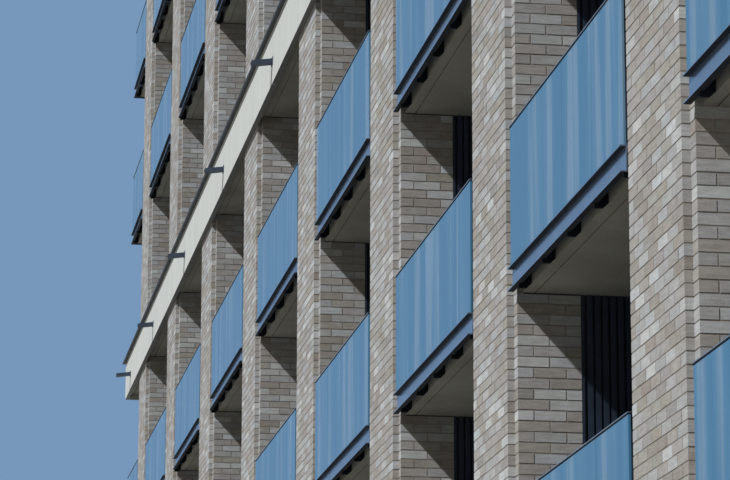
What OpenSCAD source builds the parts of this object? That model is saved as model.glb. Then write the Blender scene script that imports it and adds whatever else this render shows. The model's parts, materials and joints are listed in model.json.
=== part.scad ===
// Apartment block with brick piers, recessed balconies and a pale storey band.
// X runs along the street front, the front faces -Y and Z is up.
// The origin lies at ground level, midway between the front and rear pier faces.

/* [Block] */
// Number of balcony bays along the front
bays = 7; // [3:1:8]
// Centre to centre of the brick piers
bay_pitch = 4837.5; // [4600:12.5:5000]
// Number of upper storeys above the ground storey
upper_storeys = 7; // [5:1:8]
// Floor to floor height of an upper storey
storey_h = 2625; // [2600:25:3100]
// Height from the ground to the first floor
ground_h = 3825; // [3300:25:4200]
// Depth of the block over its front and rear pier faces
block_d = 12600; // [11600:50:14000]

/* [Piers] */
// Width of the brick face of a pier
pier_w = 1237.5; // [1125:12.5:1350]
// How far the pier face stands out from the stepped strip beside it
pier_step = 50; // [50:1:80]
// Width of the stepped strip on each side of the face
strip_w = 112.5; // [80:2.5:130]
// Depth of the pier behind the strip
pier_d = 450; // [350:10:500]

/* [Slabs] */
// Thickness of the floor slabs
slab_t = 225; // [180:5:275]
// Thickness of the ground slab
ground_slab_t = 150; // [100:10:250]
// Set-back of the balcony slab edge behind the pier face
slab_setback = 95; // [80:1:120]
// Width of the drip groove under a balcony edge
drip_w = 14; // [10:1:24]
// Depth of the drip groove
drip_d = 12; // [6:1:20]
// Distance of the drip groove from the slab edge
drip_inset = 76; // [60:2:150]

/* [Recess walls] */
// Depth of a balcony from the pier face to the glazed screen
recess_d = 1620; // [1400:10:2200]
// Thickness of the wall behind the ribbed cladding
side_wall_t = 150; // [100:10:200]
// Thickness of the metal cladding over its ribs
clad_d = 36; // [25:1:50]

/* [Glazed screens] */
// Width of the frame members
frame_w = 65; // [45:1:90]
// Depth of the frames
frame_d = 70; // [50:1:100]
// Thickness of the double glazing
pane_t = 28; // [20:1:40]
// Number of lights in a balcony screen
lights = 3; // [2:1:4]

/* [Balcony edge] */
// Height of the steel channel
channel_h = 165; // [140:5:220]
// Length of the channel's toes
channel_toe = 36; // [20:1:38]
// Thickness of the channel's steel
steel_t = 8; // [5:1:10]
// Set-back of the channel's toes behind the pier face
channel_setback = 2; // [0:1:4]
// Height of the channel's underside above the slab soffit
channel_lift = 30; // [5:1:50]
// Gap between a pier face and the end of a channel
channel_gap = 45; // [20:5:100]
// Gap between a pier face and the end of the glass and rail
edge_gap = 95; // [50:5:100]
// Number of cleat plates that carry a channel
cleats = 5; // [3:1:7]
// Distance of the end cleats from the pier face edge
cleat_inset = 265; // [260:5:320]
// How far the cleats of a bay stand off its middle, away from the block's middle
cleat_shift = 120; // [0:5:120]
// Thickness of a cleat plate
cleat_t = 20; // [12:1:30]
// Height of a cleat above the channel's underside
cleat_h = 110; // [80:5:130]
// How far a cleat hangs below the channel
cleat_drop = 60; // [30:1:65]
// How much less it hangs at the slab edge
cleat_rise = 35; // [10:1:38]
// How far a cleat reaches under the channel from the channel's back
cleat_reach = 42; // [15:1:44]

/* [Glass guards] */
// Thickness of the guard glass
guard_t = 18; // [12:1:22]
// Height of the guard glass above the channel
guard_h = 996; // [900:2:1100]
// Number of panes across a bay
guard_panes = 4; // [2:1:5]
// Gap between neighbouring panes
pane_gap = 8; // [4:1:24]
// Height of the cap rail
rail_h = 16; // [12:1:45]
// Width of the cap rail
rail_w = 28; // [26:1:32]
// Joint between two lengths of channel, rail or shoe at a corner
rail_joint = 3; // [1:0.5:8]
// Width of the shoe that holds a terrace guard
shoe_w = 60; // [50:2:80]
// Height of the shoe
shoe_h = 100; // [80:5:130]

/* [Corner balconies] */
// Length of a corner balcony past the end pier face
corner_l = 2050; // [1600:10:2060]
// Depth of a corner balcony along the gable
corner_d = 3150; // [2850:50:3400]

/* [Storey band] */
// Upper floor whose slab carries the pale band
band_floor = 4; // [2:1:5]
// How far the band hangs below the slab soffit
band_drop = 90; // [40:5:200]
// Height of the band panels
band_h = 625; // [500:5:800]
// Thickness of the band panels
band_t = 60; // [50:5:100]
// Width of the joints between band panels
band_joint = 10; // [5:1:20]
// Height of the band's metal coping
coping_h = 45; // [40:5:100]
// Overhang of the coping past the band face
coping_over = 50; // [30:5:70]
// Thickness of the coping at its drip edge
coping_edge = 12; // [6:1:20]
// How far the drip edge hangs below the coping's underside
coping_drip = 10; // [8:1:25]
// Fall of the coping's top towards its edge
coping_fall = 10; // [5:1:25]
// Set-back of the guard behind the band, from the pier face
terrace_setback = 600; // [500:10:800]

/* [Rain spouts] */
// Projection of a spout past the band face
spout_l = 240; // [160:10:320]
// Height of a spout
spout_h = 75; // [50:5:90]
// Width of a spout
spout_w = 90; // [60:5:120]
// Thickness of the spout's sheet
spout_t = 6; // [3:1:8]
// Height of the spout's centre above the slab soffit
spout_z = 145; // [110:5:200]
// Fall of the spout towards its tip, in degrees
spout_fall = 3; // [1:0.5:6]
// Width of the flange round a spout
spout_flange = 20; // [10:1:30]
// Height of the lip turned down at the tip
spout_lip = 20; // [10:1:30]

/* [Gables, rear and roof] */
// Thickness of the outer brick leaf
leaf_t = 102.5; // [100:0.5:110]
// Thickness of the wall behind the outer brick leaf
inner_t = 200; // [150:10:250]
// Width of the rear windows
rear_window_w = 2250; // [1350:75:2400]
// Width of the gable windows and balcony doors
gable_window_w = 1350; // [900:75:1500]
// Height of the parapet above the roof slab
parapet_h = 1050; // [900:25:1200]
// Thickness of the front parapet walls
parapet_t = 225; // [200:5:300]
// Height of the parapet coping
cap_h = 60; // [40:5:100]
// Overhang of the parapet coping
cap_over = 40; // [25:5:60]

/* [Entrance] */
// Width of the pair of entrance doors
entrance_w = 1800; // [1400:50:2000]
// Height of the entrance doors
entrance_h = 2350; // [2100:50:2500]
// Width of a door's stiles and rails
stile_w = 110; // [80:5:140]
// Thickness of a door leaf
door_d = 50; // [40:1:60]
// Gap round each door leaf
door_gap = 4; // [3:0.5:6]
// Height of a door pull's lower end above the floor
pull_z = 800; // [700:25:900]
// Length of a door pull
pull_l = 600; // [300:25:800]
// Diameter of a door pull
pull_dia = 30; // [20:1:40]
// Diameter of the posts that carry it
post_dia = 20; // [12:1:24]
// Distance of the posts from the pull's ends
post_inset = 80; // [40:5:120]
// Distance of the pull in front of the screen
pull_out = 40; // [35:1:70]
// Height of a hinge knuckle
knuckle_h = 100; // [60:5:140]
// Depth of a hinge knuckle
knuckle_d = 24; // [16:1:25]

/* [Hidden] */
eps = 1;
front = -block_d / 2;
rear = block_d / 2;
levels = upper_storeys + 1;

half_run = bays * bay_pitch / 2;
inner_w = pier_w + 2 * strip_w;
gable_x = half_run + inner_w / 2;
open_w = bay_pitch - pier_w;
nook_w = bay_pitch - inner_w;
guard_w = open_w - 2 * edge_gap;
channel_w = open_w - 2 * channel_gap;

strip_y = front + pier_step;
pier_back = strip_y + pier_d;
slab_y = front + slab_setback;
screen_y = front + recess_d;
wall_end_y = screen_y + frame_d + side_wall_t;

leaf_x = gable_x - leaf_t;
inner_x = leaf_x - inner_t;
rear_face = rear - pier_step;
rear_leaf_y = rear_face - leaf_t;
rear_inner_y = rear_leaf_y - inner_t;

roof_z = ground_h + upper_storeys * storey_h;
parapet_z = roof_z + parapet_h;

channel_y = front + channel_setback;
web_y = channel_y + channel_toe;
guard_y = web_y - guard_t / 2 - steel_t / 2;
corner_start_x = half_run + pier_w / 2 + edge_gap;
corner_channel_x = half_run + pier_w / 2 + channel_gap;
corner_x = half_run + pier_w / 2 + corner_l;
corner_y = front + corner_d;

gable_count = 3;
entrance_bay = floor(bays / 2);
band_z = ground_h + (band_floor - 1) * storey_h - slab_t - band_drop;
band_x = corner_x + band_t;
band_y = corner_y + band_t;
screen_w = nook_w + 2 * clad_d;
pane_inset = (frame_d - pane_t) / 2;
sidelight_w = (screen_w - entrance_w) / 2;
corner_glass_x = corner_x - (guard_y - front);
corner_glass_y = corner_y - (guard_y - front);
door_size = [entrance_w / 2 - 1.5 * door_gap, entrance_h - 2 * door_gap];

// Height of the top of the slab at a level, with level 0 the ground slab
function top_z(level) = level == 0 ? ground_slab_t : ground_h + (level - 1) * storey_h;
// Height of the underside of the slab above a level
function soffit_z(level) = top_z(level + 1) - slab_t;
// Clear height of the rooms at a level
function room_h(level) = soffit_z(level) - top_z(level);
// Centre of a pier and of a bay along the front
function pier_x(i) = (i - bays / 2) * bay_pitch;
function bay_x(i) = pier_x(i) + bay_pitch / 2;
// Centre of a gable opening, the first of them the door of the corner balcony
function gable_y(i) = i == 0 ? (pier_back + corner_y) / 2
    : corner_y + (rear_inner_y - corner_y) * (i - 0.5) / (gable_count - 1);

module block(x0, x1, y0, y1, z0, z1) {
    translate([x0, y0, z0]) cube([x1 - x0, y1 - y0, z1 - z0]);
}

module area(x0, x1, y0, y1) {
    translate([x0, y0]) square([x1 - x0, y1 - y0]);
}

// A shape drawn in Y and Z and pulled along X
module pulled_x(x0, x1) {
    translate([x0, 0, 0]) rotate([90, 0, 90]) linear_extrude(x1 - x0) children();
}

// The same piece at both ends of the block
module both_ends() {
    children();
    mirror([1, 0, 0]) children();
}

// Slabs

module plate_area(edge_y) {
    area(-leaf_x, leaf_x, pier_back, rear_leaf_y);
    for (i = [0 : bays - 1])
        area(bay_x(i) - nook_w / 2, bay_x(i) + nook_w / 2, edge_y, pier_back + eps);
}

module drip(x0, x1, y, z) {
    block(x0, x1, y + drip_inset, y + drip_inset + drip_w, z - eps, z + drip_d);
}

module floor_plate(level) {
    carries_band = level == band_floor;
    edge_y = carries_band ? strip_y - eps : slab_y;
    z = soffit_z(level - 1);
    color("darkkhaki") difference() {
        translate([0, 0, z]) linear_extrude(slab_t) {
            plate_area(edge_y);
            if (carries_band)
                for (i = [0 : bays - 1])
                    area(bay_x(i) - open_w / 2, bay_x(i) + open_w / 2, front, strip_y);
        }
        for (i = [0 : bays - 1])
            drip(bay_x(i) - nook_w / 2 - eps, bay_x(i) + nook_w / 2 + eps, edge_y, z);
    }
}

module ground_slab() {
    color("darkkhaki") linear_extrude(ground_slab_t) {
        plate_area(strip_y);
        rear_leaf_area();
        area(-gable_x, gable_x, pier_back, rear_leaf_y + eps);
    }
}

module roof_slab() {
    color("darkkhaki") translate([0, 0, roof_z - slab_t]) linear_extrude(slab_t) plate_area(strip_y);
}

module corner_slab_area(edge) {
    area(gable_x, corner_x - edge, front + edge, corner_y - edge);
}

module corner_balcony_slabs() {
    color("darkkhaki") both_ends() for (level = [1 : upper_storeys]) {
        edge = level == band_floor ? 0 : slab_setback;
        z = soffit_z(level - 1);
        difference() {
            translate([0, 0, z]) linear_extrude(slab_t) corner_slab_area(edge);
            translate([0, 0, z - eps]) linear_extrude(drip_d + eps) difference() {
                corner_slab_area(edge + drip_inset);
                corner_slab_area(edge + drip_inset + drip_w);
            }
        }
    }
}

// Brickwork

module front_pier(i) {
    x = pier_x(i);
    color("rosybrown") union() {
        linear_extrude(roof_z) area(x - inner_w / 2, x + inner_w / 2, strip_y, pier_back);
        linear_extrude(parapet_z) {
            area(x - pier_w / 2, x + pier_w / 2, front, strip_y + eps);
            area(x - inner_w / 2, x + inner_w / 2, strip_y, strip_y + parapet_t);
        }
    }
}

module gable_openings(x0, x1) {
    for (level = [0 : levels - 1])
        for (i = [0 : gable_count - 1])
            block(x0, x1, gable_y(i) - gable_window_w / 2, gable_y(i) + gable_window_w / 2,
                top_z(level), soffit_z(level));
}

module gable_brickwork() {
    color("rosybrown") difference() {
        union() {
            block(leaf_x, gable_x, pier_back, rear_leaf_y, ground_slab_t, parapet_z);
            block(leaf_x, gable_x, strip_y + parapet_t, pier_back + eps, roof_z, parapet_z);
        }
        gable_openings(leaf_x - eps, gable_x + eps);
    }
}

module rear_leaf_area() {
    area(-gable_x, gable_x, rear_leaf_y, rear_face);
    for (i = [0 : bays])
        area(pier_x(i) - pier_w / 2, pier_x(i) + pier_w / 2, rear_leaf_y, rear);
}

module rear_brickwork() {
    color("rosybrown") difference() {
        translate([0, 0, ground_slab_t]) linear_extrude(parapet_z - ground_slab_t) rear_leaf_area();
        for (level = [0 : levels - 1])
            for (i = [0 : bays - 1])
                block(bay_x(i) - rear_window_w / 2, bay_x(i) + rear_window_w / 2,
                    rear_leaf_y - eps, rear_face + eps, top_z(level), soffit_z(level));
    }
}

// Walls behind the brickwork, one length between each two openings

module gable_wall() {
    color("gainsboro") for (level = [0 : levels - 1]) for (i = [0 : gable_count]) {
        y0 = i == 0 ? pier_back : gable_y(i - 1) + gable_window_w / 2;
        y1 = i == gable_count ? rear_inner_y : gable_y(i) - gable_window_w / 2;
        block(inner_x, leaf_x, y0, y1, top_z(level), soffit_z(level));
    }
}

module rear_wall() {
    color("gainsboro") for (level = [0 : levels - 1]) for (i = [0 : bays]) {
        x0 = i == 0 ? -leaf_x : bay_x(i - 1) + rear_window_w / 2;
        x1 = i == bays ? leaf_x : bay_x(i) - rear_window_w / 2;
        block(x0, x1, rear_inner_y, rear_leaf_y, top_z(level), soffit_z(level));
    }
}

// The two sides of each recess; side is 1 for the wall on the +X side of a bay
module recess_walls(side) {
    color("gainsboro") for (level = [0 : levels - 1]) for (i = [0 : bays - 1])
        translate([bay_x(i), 0, 0]) mirror([side == 1 ? 0 : 1, 0, 0])
            block(nook_w / 2 + clad_d, nook_w / 2 + clad_d + side_wall_t,
                pier_back, wall_end_y, top_z(level), soffit_z(level));
}

// Metal cladding on both sides of each recess, flush with the brickwork of the piers
module ribbed_cladding() {
    color("darkslategray") for (level = [0 : levels - 1]) for (i = [0 : bays - 1])
        translate([bay_x(i), 0, 0]) both_ends()
            block(nook_w / 2, nook_w / 2 + clad_d, pier_back, screen_y, top_z(level), soffit_z(level));
}

// Glazed screens, windows and doors

// A frame with its lights, drawn in X and Z, from x = 0 and z = 0
module frame_face(w, h, count) {
    light_w = (w - frame_w * (count + 1)) / count;
    difference() {
        square([w, h]);
        for (i = [0 : count - 1])
            translate([frame_w + i * (light_w + frame_w), frame_w])
                square([light_w, h - 2 * frame_w]);
    }
}

// The panes of the same frame
module frame_lights(w, h, count) {
    light_w = (w - frame_w * (count + 1)) / count;
    for (i = [0 : count - 1])
        translate([frame_w + i * (light_w + frame_w), frame_w]) square([light_w, h - 2 * frame_w]);
}

// Stands a face drawn in X and Z upright, with its front at y and its thickness behind
module upright(x, y, z, t) {
    translate([x, y + t, z]) rotate([90, 0, 0]) linear_extrude(t) children();
}

module balcony_screens() {
    color("darkslategray") for (level = [0 : levels - 1]) for (i = [0 : bays - 1])
        upright(bay_x(i) - screen_w / 2, screen_y, top_z(level), frame_d)
            if (level == 0 && i == entrance_bay) entrance_frame();
            else frame_face(screen_w, room_h(level), lights);
}

module balcony_screen_glass() {
    color("steelblue", 0.6) for (level = [0 : levels - 1]) for (i = [0 : bays - 1])
        upright(bay_x(i) - screen_w / 2, screen_y + pane_inset, top_z(level), pane_t)
            if (level == 0 && i == entrance_bay) entrance_glass();
            else frame_lights(screen_w, room_h(level), lights);
}

module gable_frames() {
    color("darkslategray") both_ends() for (level = [0 : levels - 1]) for (i = [0 : gable_count - 1])
        translate([leaf_x, gable_y(i), top_z(level)]) rotate([0, 0, 90])
            upright(-gable_window_w / 2, 0, 0, frame_d)
                frame_face(gable_window_w, room_h(level), i == 0 ? 1 : 2);
}

module gable_glass() {
    color("steelblue", 0.6) both_ends() for (level = [0 : levels - 1]) for (i = [0 : gable_count - 1])
        translate([leaf_x, gable_y(i), top_z(level)]) rotate([0, 0, 90])
            upright(-gable_window_w / 2, pane_inset, 0, pane_t)
                frame_lights(gable_window_w, room_h(level), i == 0 ? 1 : 2);
}

module rear_frames() {
    color("darkslategray") for (level = [0 : levels - 1]) for (i = [0 : bays - 1])
        upright(bay_x(i) - rear_window_w / 2, rear_leaf_y - frame_d, top_z(level), frame_d)
            frame_face(rear_window_w, room_h(level), 2);
}

module rear_glass() {
    color("steelblue", 0.6) for (level = [0 : levels - 1]) for (i = [0 : bays - 1])
        upright(bay_x(i) - rear_window_w / 2, rear_leaf_y - frame_d + pane_inset, top_z(level), pane_t)
            frame_lights(rear_window_w, room_h(level), 2);
}

// Entrance: a doorway in the middle of the screen, with sidelights and a fanlight

module entrance_lights() {
    h = room_h(0);
    over_h = h - entrance_h - 2 * frame_w;
    for (x = [frame_w, screen_w - sidelight_w + frame_w])
        translate([x, frame_w]) square([sidelight_w - 2 * frame_w, h - 2 * frame_w]);
    translate([sidelight_w, entrance_h + frame_w]) square([entrance_w, over_h]);
}

module entrance_frame() {
    difference() {
        square([screen_w, room_h(0)]);
        entrance_lights();
        translate([sidelight_w, -eps]) square([entrance_w, entrance_h + eps]);
    }
}

module entrance_glass() {
    entrance_lights();
    for (x = [sidelight_w + door_gap, screen_w / 2 + door_gap / 2])
        translate([x + stile_w, door_gap + stile_w]) square(door_size - 2 * [stile_w, stile_w]);
}

// Hinge knuckles that fill the gap between a door leaf and its jamb
module door_hinges(side) {
    jamb_x = entrance_w / 2;
    for (z = [0.1, 0.5, 0.9] * entrance_h)
        mirror([side == 1 ? 0 : 1, 0, 0])
            block(jamb_x - door_gap - eps, jamb_x, 0, knuckle_d, z, z + knuckle_h);
}

// Upright pull with two posts that run back into the door's stile
module door_pull() {
    translate([0, 0, pull_z]) {
        cylinder(d = pull_dia, h = pull_l, $fn = 24);
        for (z = [post_inset, pull_l - post_inset])
            translate([0, 0, z]) rotate([-90, 0, 0])
                cylinder(d = post_dia, h = pull_out + frame_d / 2, $fn = 24);
    }
}

module entrance_doors() {
    color("darkslategray")
        for (side = [-1, 1]) {
            x = bay_x(entrance_bay) + (side == 1 ? door_gap / 2 : -door_gap / 2 - door_size[0]);
            pull_x = bay_x(entrance_bay) + side * (door_gap / 2 + stile_w / 2);
            union() {
                translate([bay_x(entrance_bay), screen_y + frame_d / 2, top_z(0)]) door_hinges(side);
                upright(x, screen_y + (frame_d - door_d) / 2, top_z(0) + door_gap, door_d)
                    difference() {
                        square(door_size);
                        translate([stile_w, stile_w]) square(door_size - 2 * [stile_w, stile_w]);
                    }
                translate([pull_x, screen_y - pull_out, top_z(0)]) door_pull();
            }
        }
}

// Balcony edge: a channel with its toes outwards, carried by cleats from the slab edge

// Section of the channel in Y and Z, with its toes at y = 0 and its underside at z = 0
module channel_section() {
    difference() {
        square([channel_toe + steel_t, channel_h]);
        translate([-eps, steel_t]) square([channel_toe + eps, channel_h - 2 * steel_t]);
    }
}

// Side of a cleat, from the slab edge to the back of the channel at y = 0 and on below the channel
module cleat_side() {
    edge_y = slab_setback - channel_setback - channel_toe - steel_t;
    sunk = 0.5;
    polygon([[-cleat_reach, sunk], [-cleat_reach, -cleat_drop], [edge_y - cleat_rise, -cleat_drop],
        [edge_y, cleat_rise - cleat_drop], [edge_y, cleat_h], [-sunk, cleat_h], [-sunk, sunk]]);
}

module cleat_row(x0, x1, count) {
    step = count > 1 ? (x1 - x0) / (count - 1) : 0;
    for (i = [0 : count - 1])
        translate([x0 + i * step, web_y + steel_t, 0])
            pulled_x(-cleat_t / 2, cleat_t / 2) cleat_side();
}

module bay_channel(shift) {
    translate([0, channel_y, 0]) pulled_x(-channel_w / 2, channel_w / 2) channel_section();
    end_x = open_w / 2 - cleat_inset;
    cleat_row(shift - end_x, shift + end_x, cleats);
}

// Plan of a corner balcony's edge, set back from the line of its toes
module corner_area(back) {
    area(corner_channel_x, corner_x - channel_setback - back,
        channel_y + back, corner_y - channel_setback - back);
}

// Three lengths mitred at the two outer corners
module corner_ring(outer, inner) {
    difference() {
        corner_area(outer);
        corner_area(inner);
        area(corner_channel_x - eps, gable_x, strip_y, corner_y);
        mitre_joint(channel_y, 135);
        mitre_joint(corner_y - channel_setback, -135);
    }
}

module mitre_joint(y, angle) {
    reach = 2 * (channel_toe + steel_t);
    translate([corner_x - channel_setback, y]) rotate(angle)
        translate([-eps, -rail_joint / 2]) square([reach, rail_joint]);
}

module corner_channel() {
    back = channel_toe + steel_t;
    linear_extrude(channel_h) corner_ring(channel_toe, back);
    for (z = [0, channel_h - steel_t])
        translate([0, 0, z]) linear_extrude(steel_t) corner_ring(0, back);
    last_x = corner_x - slab_setback - cleat_inset / 2;
    cleat_row(gable_x + cleat_inset, last_x, 3);
    translate([0, front + corner_y, 0]) mirror([0, 1, 0]) cleat_row(gable_x + cleat_inset, last_x, 3);
    translate([corner_x + front, 0, 0]) rotate([0, 0, 90])
        cleat_row(front + slab_setback + cleat_inset / 2, corner_y - slab_setback - cleat_inset / 2, 4);
}

module balcony_channels() {
    color("midnightblue") for (level = [1 : upper_storeys])
        if (level != band_floor) translate([0, 0, soffit_z(level - 1) + channel_lift]) {
            for (i = [0 : bays - 1]) translate([bay_x(i), 0, 0]) bay_channel(sign(bay_x(i)) * cleat_shift);
            both_ends() corner_channel();
        }
}

// A row of panes along X, with its face at y, from x0 to x1
module pane_row(x0, x1, y, count) {
    pane_w = (x1 - x0 - pane_gap * (count - 1)) / count;
    for (i = [0 : count - 1])
        translate([x0 + i * (pane_w + pane_gap), y, 0]) cube([pane_w, guard_t, guard_h]);
}

module corner_panes() {
    x1 = corner_glass_x - guard_t - pane_gap;
    pane_row(corner_start_x, x1, guard_y, 2);
    pane_row(gable_x + pane_gap, x1, corner_glass_y - guard_t, 2);
    translate([corner_glass_x, 0, 0]) rotate([0, 0, 90])
        pane_row(guard_y, corner_glass_y, 0, 3);
}

// Three straight lengths round a corner balcony: along the front, the end and the back
module corner_lengths(start_x, end_x, y0, y1, w, h, joint) {
    block(start_x, end_x, y0, y0 + w, 0, h);
    block(end_x - w, end_x, y0 + w + joint, y1 - w - joint, 0, h);
    block(gable_x, end_x, y1 - w, y1, 0, h);
}

module corner_rail() {
    over = (rail_w - guard_t) / 2;
    corner_lengths(corner_start_x, corner_glass_x + over, guard_y - over, corner_glass_y + over,
        rail_w, rail_h, rail_joint);
}

// The same round a terrace, with its outer faces at a distance behind those of the shoes
module terrace_lengths(inset, w, h, joint) {
    corner_lengths(gable_x, corner_x - terrace_setback - inset, front + terrace_setback + inset,
        corner_y - terrace_setback - inset, w, h, joint);
}

module terrace_guard_shoes() {
    color("midnightblue") translate([0, 0, top_z(band_floor)]) {
        for (i = [0 : bays - 1])
            block(bay_x(i) - nook_w / 2, bay_x(i) + nook_w / 2,
                front + terrace_setback, front + terrace_setback + shoe_w, 0, shoe_h);
        both_ends() terrace_lengths(0, shoe_w, shoe_h, rail_joint);
    }
}

module terrace_glass() {
    inset = (shoe_w - guard_t) / 2;
    for (i = [0 : bays - 1])
        pane_row(bay_x(i) - nook_w / 2 + pane_gap, bay_x(i) + nook_w / 2 - pane_gap,
            front + terrace_setback + inset, guard_panes);
    both_ends() terrace_lengths(inset, guard_t, guard_h, pane_gap);
}

module terrace_rails() {
    inset = (shoe_w - rail_w) / 2;
    for (i = [0 : bays - 1])
        block(bay_x(i) - nook_w / 2, bay_x(i) + nook_w / 2, front + terrace_setback + inset,
            front + terrace_setback + inset + rail_w, guard_h, guard_h + rail_h);
    both_ends() translate([0, 0, guard_h]) terrace_lengths(inset, rail_w, rail_h, rail_joint);
}

module guard_glass() {
    color("steelblue", 0.6) {
        for (level = [1 : upper_storeys])
            if (level != band_floor)
                translate([0, 0, soffit_z(level - 1) + channel_lift + channel_h]) {
                    for (i = [0 : bays - 1]) pane_row(bay_x(i) - guard_w / 2, bay_x(i) + guard_w / 2,
                        guard_y, guard_panes);
                    both_ends() corner_panes();
                }
        translate([0, 0, top_z(band_floor) + shoe_h]) terrace_glass();
    }
}

module guard_rails() {
    rail_y = guard_y + guard_t / 2 - rail_w / 2;
    color("midnightblue") {
        for (level = [1 : upper_storeys])
            if (level != band_floor)
                translate([0, 0, soffit_z(level - 1) + channel_lift + channel_h + guard_h]) {
                    for (i = [0 : bays - 1]) block(bay_x(i) - guard_w / 2, bay_x(i) + guard_w / 2,
                        rail_y, rail_y + rail_w, 0, rail_h);
                    both_ends() corner_rail();
                }
        translate([0, 0, top_z(band_floor) + shoe_h]) terrace_rails();
    }
}

// Storey band: panels hung on the slab edge, a folded coping and open spouts

module band_panel(x0, x1, y) {
    block(x0 + band_joint / 2, x1 - band_joint / 2, y, y + band_t, band_z, band_z + band_h);
}

module storey_band() {
    color("whitesmoke") {
        for (i = [0 : bays]) {
            x0 = i == 0 ? -band_x : bay_x(i - 1);
            x1 = i == bays ? band_x : bay_x(i);
            band_panel(x0, x1, front - band_t);
        }
        both_ends() {
            block(corner_x, band_x, front + band_joint, corner_y - band_joint, band_z, band_z + band_h);
            band_panel(gable_x, band_x, corner_y);
            block(gable_x, gable_x + band_t, band_y + band_joint, rear - band_joint,
                band_z, band_z + band_h);
        }
        for (i = [0 : bays]) {
            x0 = i == 0 ? -gable_x - band_t : bay_x(i - 1);
            x1 = i == bays ? gable_x + band_t : bay_x(i);
            band_panel(x0, x1, rear);
        }
    }
}

// Section of the band coping: a sloping top, an overhang and a turned-down drip
module coping_section() {
    edge_y = -band_t - coping_over;
    polygon([[edge_y, 0], [edge_y, coping_h - coping_fall], [0, coping_h], [0, coping_drip],
        [edge_y + coping_edge, coping_drip], [edge_y + coping_edge, 0]]);
}

module band_coping() {
    reach = band_t + coping_over;
    color("dimgray") translate([0, 0, band_z + band_h - coping_drip]) {
        translate([0, front, 0]) pulled_x(-corner_x - reach, corner_x + reach) coping_section();
        translate([0, rear, 0]) mirror([0, 1, 0])
            pulled_x(-gable_x - reach, gable_x + reach) coping_section();
        both_ends() {
            translate([corner_x, 0, 0]) rotate([0, 0, 90]) pulled_x(front, corner_y) coping_section();
            translate([0, corner_y, 0]) mirror([0, 1, 0])
                pulled_x(gable_x, corner_x + reach) coping_section();
            translate([gable_x, 0, 0]) rotate([0, 0, 90])
                pulled_x(corner_y + reach, rear) coping_section();
        }
    }
}

// An open spout with a flange on the band face and a lip turned down at its tip
module rain_spout() {
    color("midnightblue") union() {
        block(-spout_w / 2 - spout_flange, spout_w / 2 + spout_flange, -spout_t, 0,
            -spout_h / 2 - spout_flange, spout_h / 2 + spout_flange);
        rotate([spout_fall, 0, 0]) difference() {
            union() {
                block(-spout_w / 2, spout_w / 2, -spout_l, -spout_t / 2, -spout_h / 2, spout_h / 2);
                block(-spout_w / 2, spout_w / 2, -spout_l, -spout_l + spout_t,
                    -spout_h / 2 - spout_lip, -spout_h / 2 + eps);
            }
            block(-spout_w / 2 + spout_t, spout_w / 2 - spout_t, -spout_l - eps, -spout_t - eps,
                -spout_h / 2 + spout_t, spout_h / 2 + eps);
        }
    }
}

module rain_spouts() {
    corner_bay_x = gable_x + (corner_x - gable_x) / 2;
    for (x = concat([for (i = [0 : bays - 1]) bay_x(i)], [-corner_bay_x, corner_bay_x]))
        translate([x, front - band_t, soffit_z(band_floor - 1) + spout_z]) rain_spout();
}

// Roof edge: brick parapets between the piers, and a wall that backs the brick leaf on the other sides

module parapet_walls() {
    color("rosybrown") for (i = [0 : bays - 1])
        block(bay_x(i) - nook_w / 2, bay_x(i) + nook_w / 2, strip_y, strip_y + parapet_t,
            roof_z, parapet_z);
}

module parapet_backing() {
    inside = parapet_t - leaf_t;
    color("rosybrown") translate([0, 0, roof_z]) linear_extrude(parapet_h) difference() {
        area(-leaf_x, leaf_x, strip_y + parapet_t, rear_leaf_y);
        area(-leaf_x + inside, leaf_x - inside, strip_y, rear_leaf_y - inside);
    }
}

// Flat coping over the parapets on all four sides
module parapet_coping() {
    over_x = gable_x + cap_over;
    over_y = rear + cap_over;
    inside_x = gable_x - parapet_t - cap_over;
    inside_y = rear - pier_step - parapet_t - cap_over;
    color("dimgray") translate([0, 0, parapet_z]) linear_extrude(cap_h) difference() {
        area(-over_x, over_x, -over_y, over_y);
        area(-inside_x, inside_x, -inside_y, inside_y);
    }
}

ground_slab();
for (i = [1 : upper_storeys])
    floor_plate(i);
roof_slab();
for (i = [0 : bays])
    front_pier(i);
mirror([1, 0, 0]) gable_brickwork();  // west_gable_brickwork
gable_brickwork();  // east_gable_brickwork
rear_brickwork();
mirror([1, 0, 0]) gable_wall();  // west_gable_wall
gable_wall();  // east_gable_wall
rear_wall();
recess_walls(-1);  // west_recess_walls
recess_walls(1);  // east_recess_walls
ribbed_cladding();
balcony_screens();
balcony_screen_glass();
gable_frames();
gable_glass();
rear_frames();
rear_glass();
entrance_doors();
balcony_channels();
guard_glass();
guard_rails();
terrace_guard_shoes();
corner_balcony_slabs();
storey_band();
band_coping();
rain_spouts();
parapet_walls();
parapet_backing();
parapet_coping();
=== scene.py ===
import json
import math

import bpy
import numpy as np
from mathutils import Matrix, Vector


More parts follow.
